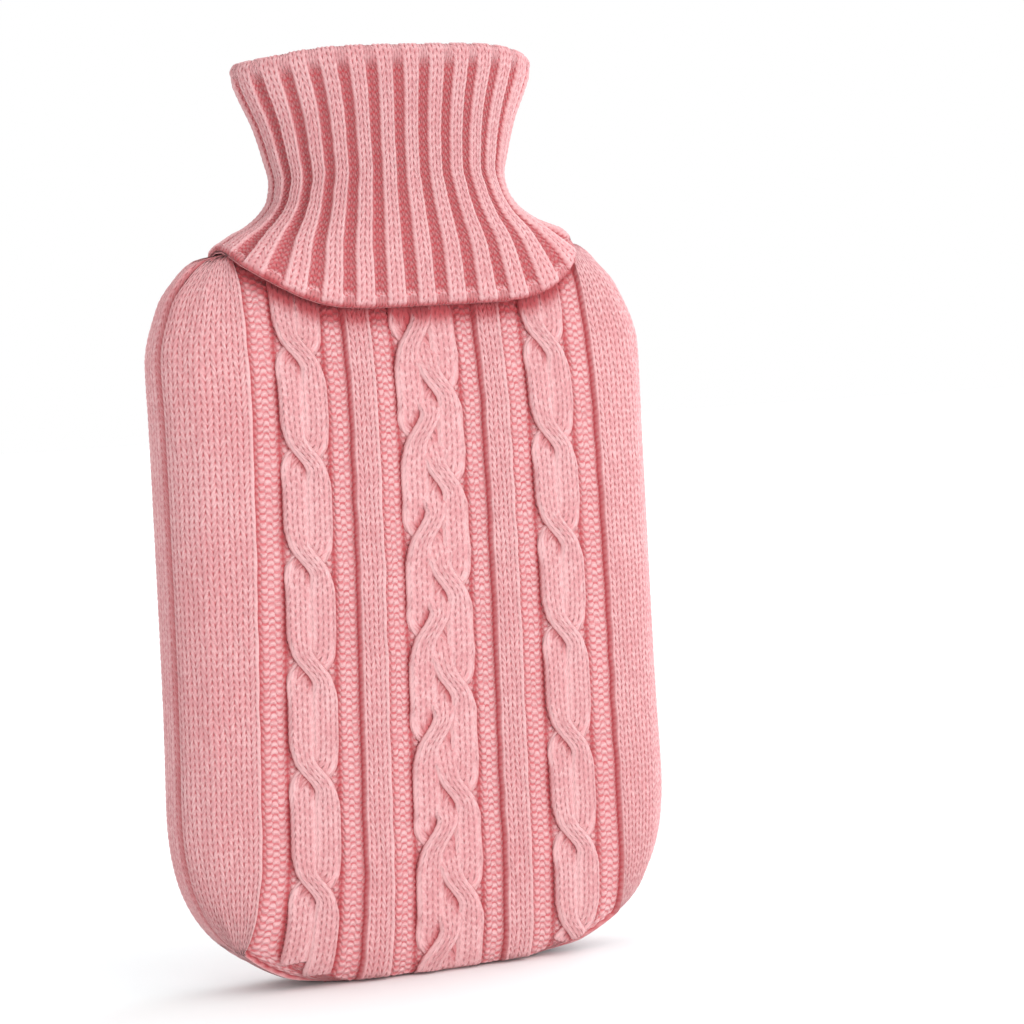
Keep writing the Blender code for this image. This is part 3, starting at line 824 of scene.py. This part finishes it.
RIB_SHARE = 0.62  # of one rib's pitch is its raised part
RIB_WALES = 2
RIB_FLAT = 0.14  # of the pitch, how far from its middle a rib stays flat
RIB_POWER = 2.4  # of its fall beyond
GROOVE_WALES = 2
GROOVE_STEPS = 3
COLLAR_COURSE = 2.7
RIB_HEIGHT = 1.75
GROOVE_DEPTH = 0.65
GROUP_WALES = RIB_WALES + GROOVE_WALES
HEM_STRIP = 4.6  # below which the grooves are closed
RIB_STRIP = 0.6
HEM_LEVEL = 0.8
HEM_CURL = 2.0
HEM_ROUND = 1.5
RIGHT_HUG = 0.9  # how far the hem leans in onto the shoulders
LEFT_HUG = 2.4
HEM_HUG_REACH = 16.0
RIM_FADE = 5.0  # how far below the rim the ribs begin to flatten
RIM_FLATTEN = 0.85
RIM_LEVEL = 0.5
RIM_SMOOTH = 4.5
RIM_TURN = 11.0  # the stitches' legs lie flatter this near the rim's crest


def make_collar(materials):
    """The collar: one ribbed tube, up from its hem, over the rim and down inside the neck."""
    surface, rim = collar_surface()
    rib = np.arange(RIB_WALES * 4) / 4
    groove = np.arange(GROOVE_WALES * GROOVE_STEPS) / GROOVE_STEPS
    one_place = np.concatenate([rib / RIB_WALES * RIB_SHARE,
                                RIB_SHARE + groove / GROOVE_WALES * (1 - RIB_SHARE)])
    one_wale = np.concatenate([rib, RIB_WALES + groove])
    columns = len(one_place) * RIB_COUNT
    rib_number = np.repeat(np.arange(RIB_COUNT), len(one_place))
    in_rib = np.tile(one_place, RIB_COUNT)
    places = ((rib_number + in_rib - RIB_SHARE / 2) / RIB_COUNT) % 1.0
    wales = rib_number * GROUP_WALES + np.tile(one_wale, RIB_COUNT)
    local = wales % 1.0 - 0.5
    knit = in_rib < RIB_SHARE - 1e-9
    length = surface.along[-1]
    courses = round(length / COLLAR_COURSE)
    rows = courses * ROWS_A_COURSE + 1
    up = (np.arange(rows) / ROWS_A_COURSE)[:, None] + np.zeros(columns)
    ends = smooth_step(np.minimum(up - 1.0, courses - up) / 2.0)
    to_crest = np.abs(up / courses * length - rim - RIM_CREST)
    ends = ends * (1.0 - 0.9 * smooth_step(1.0 - to_crest / RIM_TURN))
    in_group = wales % GROUP_WALES
    wale_edge = np.where(knit, np.minimum(in_group, RIB_WALES - in_group),
                         np.minimum(in_group - RIB_WALES, GROUP_WALES - in_group))
    ends = ends * smooth_step(wale_edge / EDGE_WALES)
    stitch_up = up + LEG_SLOPE * np.abs(local) * knit * ends
    along = np.minimum(stitch_up / courses * length, length)
    across = np.broadcast_to(places, along.shape)

    from_middle = np.abs(in_rib - RIB_SHARE / 2)
    from_middle = np.minimum(from_middle, 1.0 - from_middle)
    half_rib = RIB_SHARE / 2 + 0.02
    fall = np.maximum(from_middle - RIB_FLAT, 0) / (half_rib - RIB_FLAT)
    share = 1.0 - fall ** RIB_POWER
    share = np.where(from_middle < half_rib, share, 0.0)
    deep = np.clip((from_middle - RIB_SHARE / 2) / (0.5 - RIB_SHARE / 2), 0.0, 1.0)
    floor = np.sqrt(np.maximum(1 - (1 - np.minimum(deep * 2.2, 1.0)) ** 2, 0.0))
    profile = RIB_HEIGHT * share - GROOVE_DEPTH * floor
    leg, crease = edge_leg(wale_edge, knit), crevice(wale_edge, knit)
    to_groove_middle = np.clip((0.5 - from_middle) / (0.5 - RIB_SHARE / 2), 0.0, 1.0)
    strip = np.where(knit, RIB_STRIP, HEM_STRIP - 1.2 * to_groove_middle ** 2)
    open_share = smooth_step((along - strip) / 1.4)
    loop = np.exp(-((along - strip - 0.6) / 0.9) ** 2) * (1.0 - knit)
    on_rim = smooth_step((along - rim + RIM_FADE) / RIM_FADE)
    inside = smooth_step((along - rim - 10.0) / 8.0)
    shown = open_share * (1.0 - RIM_FLATTEN * on_rim + (RIM_FLATTEN - 0.45) * inside)
    relief = (profile + EDGE_LEG_RAISE * leg) * shown + (1 - open_share) * HEM_LEVEL
    relief = relief + RIM_LEVEL * on_rim * (1 - inside) + 0.35 * loop
    stitch = np.where(knit, knit_height(local, stitch_up), purl_height(local, up))
    depth = np.where(knit, STITCH_DEPTH, PURL_DEPTH * 0.9)
    plain = 1.0 - smooth_step((along - strip + 0.8) / 1.6)
    chain = 0.10 * np.cos(TURN * wales) * plain
    curl = HEM_ROUND * (1.0 - np.sqrt(1.0 - np.clip(1.0 - along / HEM_CURL, 0, 1) ** 2))
    height = relief + depth * (stitch - STITCH_MEAN) * (1 - plain) + chain - curl
    across = across + wobble(11, across * COLLAR_ROUND, along, UNEVEN_ACROSS) / COLLAR_ROUND
    to_side = np.abs(np.sin(TURN * across)) ** 6
    hug = np.where(across % 1.0 < 0.5, RIGHT_HUG, LEFT_HUG) * to_side
    hug = hug * smooth_step(1.0 - along / HEM_HUG_REACH)
    height = height - hug
    outer = surface.place(across % 1.0, along, height)
    # Painted light: a painted highlight on the ribs' outer legs and on the loops round the
    # grooves' ends, painted shade in the grooves and crevices, and painted shade on the hem strip,
    # deepest at its curled lower edge.
    groove = (deep ** 0.4) * ~knit
    painted_light_tones = shown * (0.55 * leg - 0.75 * groove - 0.6 * crease) + 0.5 * loop
    painted_light_tones = painted_light_tones - 0.15 * plain * ~knit - 0.45 * plain - 0.6 * (1.0 - smooth_step(along / 2.2))
    painted_light_tones = np.clip(painted_light_tones, -1.0, 1.0)

    kept = every(rows, COLLAR_KEPT[0]), list(range(0, columns, COLLAR_KEPT[1]))
    pick = np.ix_(*kept)
    inner = surface.place(across[pick], along[pick],
                          -COLLAR_INNER - np.maximum(hug[pick] - RIGHT_HUG, 0.0))
    smooth = (along[:-1] < strip - 0.2) | (~knit & (np.abs(along[:-1] - rim) < RIM_SMOOTH))
    slots = np.where(smooth, 2, np.where(knit, 0, 1))
    return make_sheet("ribbed_collar", outer, inner, kept, (wales, stitch_up), True, materials,
                      slots, painted_light_tones, round_wales=RIB_COUNT * GROUP_WALES)


# ---- materials

YARN_PALE = (0.82, 0.47, 0.48, 1.0)
YARN_MID = (0.72, 0.32, 0.335, 1.0)
# painted shade in the stitches' holes
HOLE_SHADE_RED = (0.60, 0.145, 0.16, 1.0)
# painted shade in crevices, grooves, creases and under the hem
PAINTED_SHADE_RED = (0.46, 0.045, 0.055, 1.0)
# painted highlight on raised edge legs and on the purl bumps' crowns
PAINTED_HIGHLIGHT_PINK = (0.93, 0.54, 0.55, 1.0)
SHEEN_TINT = (1.0, 0.74, 0.76, 1.0)
BUMP_METRES = 0.0006


def node(tree, kind, inputs=(), **settings):
    """A new node, with its settings and its inputs by name or number."""
    made = tree.nodes.new(kind)
    for name, value in settings.items():
        setattr(made, name, value)
    for name, value in dict(inputs).items():
        if isinstance(value, Value):
            value = value.socket
        if isinstance(value, bpy.types.NodeSocket):
            tree.links.new(value, made.inputs[name])
        else:
            made.inputs[name].default_value = value
    return made


class Value:
    """A number in a material's node tree, written as a formula."""

    def __init__(self, tree, socket):
        self.tree, self.socket = tree, socket

    def math(self, operation, *others):
        made = node(self.tree, "ShaderNodeMath", enumerate((self, *others)), operation=operation)
        return Value(self.tree, made.outputs[0])

    def __add__(self, other):
        return self.math("ADD", other)

    def __sub__(self, other):
        return self.math("SUBTRACT", other)

    def __mul__(self, other):
        return self.math("MULTIPLY", other)

    def __pow__(self, other):
        return self.math("POWER", other)

    def within(self, low, high):
        """0 at low, 1 at high, and a soft S between."""
        made = node(self.tree, "ShaderNodeMapRange",
                    {"Value": self, "From Min": low, "From Max": high},
                    interpolation_type="SMOOTHSTEP")
        return Value(self.tree, made.outputs[0])


def noise(tree, vector, scale, detail):
    """Cloudy noise between about 0.3 and 0.7."""
    made = node(tree, "ShaderNodeTexNoise", {"Vector": vector, "Scale": scale, "Detail": detail})
    return Value(tree, made.outputs["Fac"])


def new_material(name, settings):
    """A material with its shader's inputs by name."""
    material = bpy.data.materials.new(name)
    material.use_nodes = True
    shader = material.node_tree.nodes["Principled BSDF"]
    for label, value in settings.items():
        shader.inputs[label].default_value = value
    return material, material.node_tree, shader


def mixed(tree, share, first, second):
    """A colour between two, by a share."""
    return node(tree, "ShaderNodeMix", {"Factor": share, 6: first, 7: second},
                data_type="RGBA").outputs[2]


def wool(name, stitch, contrast=1.0, leg_line=0.2, sheen=0.35):
    """Heathered wool knit, with its stitches counted by the mesh's texture map, painted shade in
    its holes and crevices, and painted highlights on its raised edges.
    """
    material, tree, shader = new_material(name, {
        "Roughness": 0.92, "Specular IOR Level": 0.2, "Sheen Weight": sheen,
        "Sheen Roughness": 0.5, "Sheen Tint": SHEEN_TINT})
    uv = node(tree, "ShaderNodeUVMap", uv_map="stitches")
    parts = node(tree, "ShaderNodeSeparateXYZ", {"Vector": uv.outputs[0]})
    wale, course = Value(tree, parts.outputs[0]), Value(tree, parts.outputs[1])
    place = node(tree, "ShaderNodeTexCoord").outputs["Object"]
    painted_light = Value(tree, node(tree, "ShaderNodeAttribute", attribute_name="painted_light").outputs["Fac"])
    # The mesh's painted light: above 0 a painted highlight, below 0 painted shade.
    painted_highlight, deep = painted_light.math("MAXIMUM", 0.0), (painted_light * -1.0).math("MAXIMUM", 0.0)
    across = wale.math("FRACT") - 0.5
    if stitch == "knit":
        side = across.math("ABSOLUTE")
        lean = course - side * LEG_SLOPE
        leg = (side * TURN).math("SINE").math("ABSOLUTE") ** 0.8
        gap = (lean * TURN).math("COSINE") * 0.5 + 0.5
        hole = (leg * -1.0 + 1.0) ** 1.1 * gap ** 0.9
        hole = hole * (painted_highlight * -0.75 + 1.0)
        line = leg * gap ** 5.0 * leg_line
        bulge = (leg * 0.4 + 0.6) - hole * 0.75 - line
        # painted shade in the holes and along the lines between the legs
        hole_shade = (hole * 1.25 + line * 0.9 + (leg * -0.25 + 0.25)) * contrast
        streak_at = node(tree, "ShaderNodeCombineXYZ", {"X": side * 2.5, "Y": lean * 9.0,
                                                        "Z": wale * 1.7})
    else:
        wave = (across * TURN).math("COSINE")
        bars = [(((course - wave * 0.16 - start) * TURN).math("COSINE") * 0.5 + 0.5) ** 1.3
                * (wave * sign + 0.35).math("MAXIMUM", 0.0).math("MINIMUM", 1.0)
                for start, sign in ((0.0, 1.0), (0.5, -1.0))]
        bulge = bars[0].math("MAXIMUM", bars[1])
        # painted shade between the purl bumps
        hole_shade = (bulge * -2.2 + 1.0) * contrast
        # a painted highlight on the purl bumps' crowns
        painted_highlight = painted_highlight + bulge ** 3.0 * 0.45
        streak_at = node(tree, "ShaderNodeCombineXYZ", {"X": wale * 2.0, "Y": course * 7.0,
                                                        "Z": wave * 1.5})
    streak = noise(tree, streak_at.outputs[0], 1.0, 3.0)
    fibre = noise(tree, place, 1700.0, 3.0)
    cloud = noise(tree, place, 420.0, 3.0)
    wide = noise(tree, place, 34.0, 2.0)

    light = (streak - 0.5) * 2.0 + (cloud - 0.5) * 2.4 + (wide - 0.5) * 0.9 + (fibre - 0.5) * 1.6
    # painted highlights lift the heathered yarn towards its lighter colour
    yarn = mixed(tree, (light + painted_highlight * 0.7 + 0.40).within(0.0, 1.0), YARN_MID, YARN_PALE)
    # the painted shade in the holes varies with the heather's clouds
    uneven = hole_shade * ((cloud - 0.5) * 1.6 + 0.9)
    colour = mixed(tree, uneven.within(0.05, 1.0), yarn, HOLE_SHADE_RED)
    # the painted highlight from the mesh and on the crowns
    colour = mixed(tree, painted_highlight.math("MINIMUM", 1.0) * 0.75, colour, PAINTED_HIGHLIGHT_PINK)
    # the painted shade from the mesh
    colour = mixed(tree, deep.math("MINIMUM", 1.0) * 0.9, colour, PAINTED_SHADE_RED)
    tree.links.new(colour, shader.inputs["Base Color"])

    height = bulge + (streak - 0.5) * 0.5 + (fibre - 0.5) * 0.3
    bump = node(tree, "ShaderNodeBump", {"Strength": 1.0, "Distance": BUMP_METRES,
                                         "Height": height})
    tree.links.new(bump.outputs[0], shader.inputs["Normal"])
    return material


# ---- stage

CAMERA_PLACE = (-606.5, -1313.4, 256.3)
CAMERA_YAW = 26.429  # degrees to the right of straight at the front
CAMERA_PITCH = 86.812  # degrees up from straight down
CAMERA_ROLL = -2.9306
CAMERA_SENSOR = 36.0
CAMERA_LENS = 130.895

# Angles in degrees across, for soft shadows.
Light = namedtuple("Light", "name source angle strength colour")
LIGHTS = (
    Light("key", (1.2, -1.15, 1.3), 50.0, 0.65, (1.0, 1.0, 1.0)),
    Light("fill", (0.3, -1.5, 0.08), 30.0, 1.45, (1.0, 1.0, 1.0)),
    Light("rim", (1.5, 0.35, 0.5), 45.0, 2.3, (0.80, 1.0, 1.04)),
)
FLOOR_REACH = 6.0  # metres
FLOOR_COLOUR = (0.87, 0.88, 0.88, 1.0)


def set_camera():
    camera = bpy.data.cameras.new("camera")
    camera.sensor_width = CAMERA_SENSOR
    camera.lens = CAMERA_LENS
    holder = add_object("camera", camera)
    place = Matrix.Translation([value * MM for value in CAMERA_PLACE])
    turn = (Matrix.Rotation(math.radians(-CAMERA_YAW), 4, "Z")
            @ Matrix.Rotation(math.radians(CAMERA_PITCH), 4, "X")
            @ Matrix.Rotation(math.radians(CAMERA_ROLL), 4, "Z"))
    holder.matrix_world = place @ turn
    bpy.context.scene.camera = holder


def add_light(light):
    """A soft, even light from a far source, so that it falls on the whole floor alike."""
    data = bpy.data.lights.new(light.name, "SUN")
    data.angle = math.radians(light.angle)
    data.energy = light.strength
    data.color = light.colour
    holder = add_object(light.name, data)
    holder.rotation_euler = Vector(light.source).to_track_quat("Z", "Y").to_euler()


def set_stage():
    bpy.context.scene.view_settings.view_transform = "Standard"
    mesh = bpy.data.meshes.new("floor")
    corners = [(x * FLOOR_REACH, y * FLOOR_REACH, 0.0)
               for x, y in ((-1, -1), (1, -1), (1, 1), (-1, 1))]
    mesh.from_pydata(corners, [], [(0, 1, 2, 3)])
    floor = add_object("floor", mesh)
    material, _, _ = new_material("floor", {"Base Color": FLOOR_COLOUR, "Roughness": 0.9,
                                            "Specular IOR Level": 0.1})
    mesh.materials.append(material)
    world = bpy.data.worlds.new("studio")
    world.use_nodes = True
    world.node_tree.nodes["Background"].inputs["Color"].default_value = (1.0, 1.0, 1.0, 1.0)
    bpy.context.scene.world = world
    for light in LIGHTS:
        add_light(light)


# ---- put together

def main():
    knit = wool("wool_knit", "knit", contrast=0.85)
    purl = wool("wool_purl", "purl", contrast=0.85)
    groove_wool = wool("wool_groove", "purl", sheen=0.1)
    cable_wool = wool("wool_cable", "knit", contrast=0.58, leg_line=0.08, sheen=0.2)
    hem_wool = wool("wool_hem", "knit", contrast=0.6, leg_line=0.1)
    front, front_face = make_panel("cabled_front", -1, FRONT_ZONES, ROWS_A_COURSE, [knit, purl])
    back, _ = make_panel("plain_back", 1, BACK_ZONES, 3, [knit, purl])
    strands = []
    for cable in CABLES:
        for strand, moves in enumerate(strand_moves(cable)):
            strands.append(make_strand(f"{cable.name}_strand_{strand + 1}", cable, strand, moves,
                                       front_face, cable_wool))
    collar = make_collar([knit, groove_wool, hem_wool])
    for piece in (front, back, collar, *strands):
        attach(piece, "root")
    for piece, solid, slot in ((front, "front_panel", "knit_front"),
                               (back, "back_panel", "knit_back"),
                               (collar, "collar", "knit_collar")):
        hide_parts(solid)
    set_camera()
    set_stage()


main()
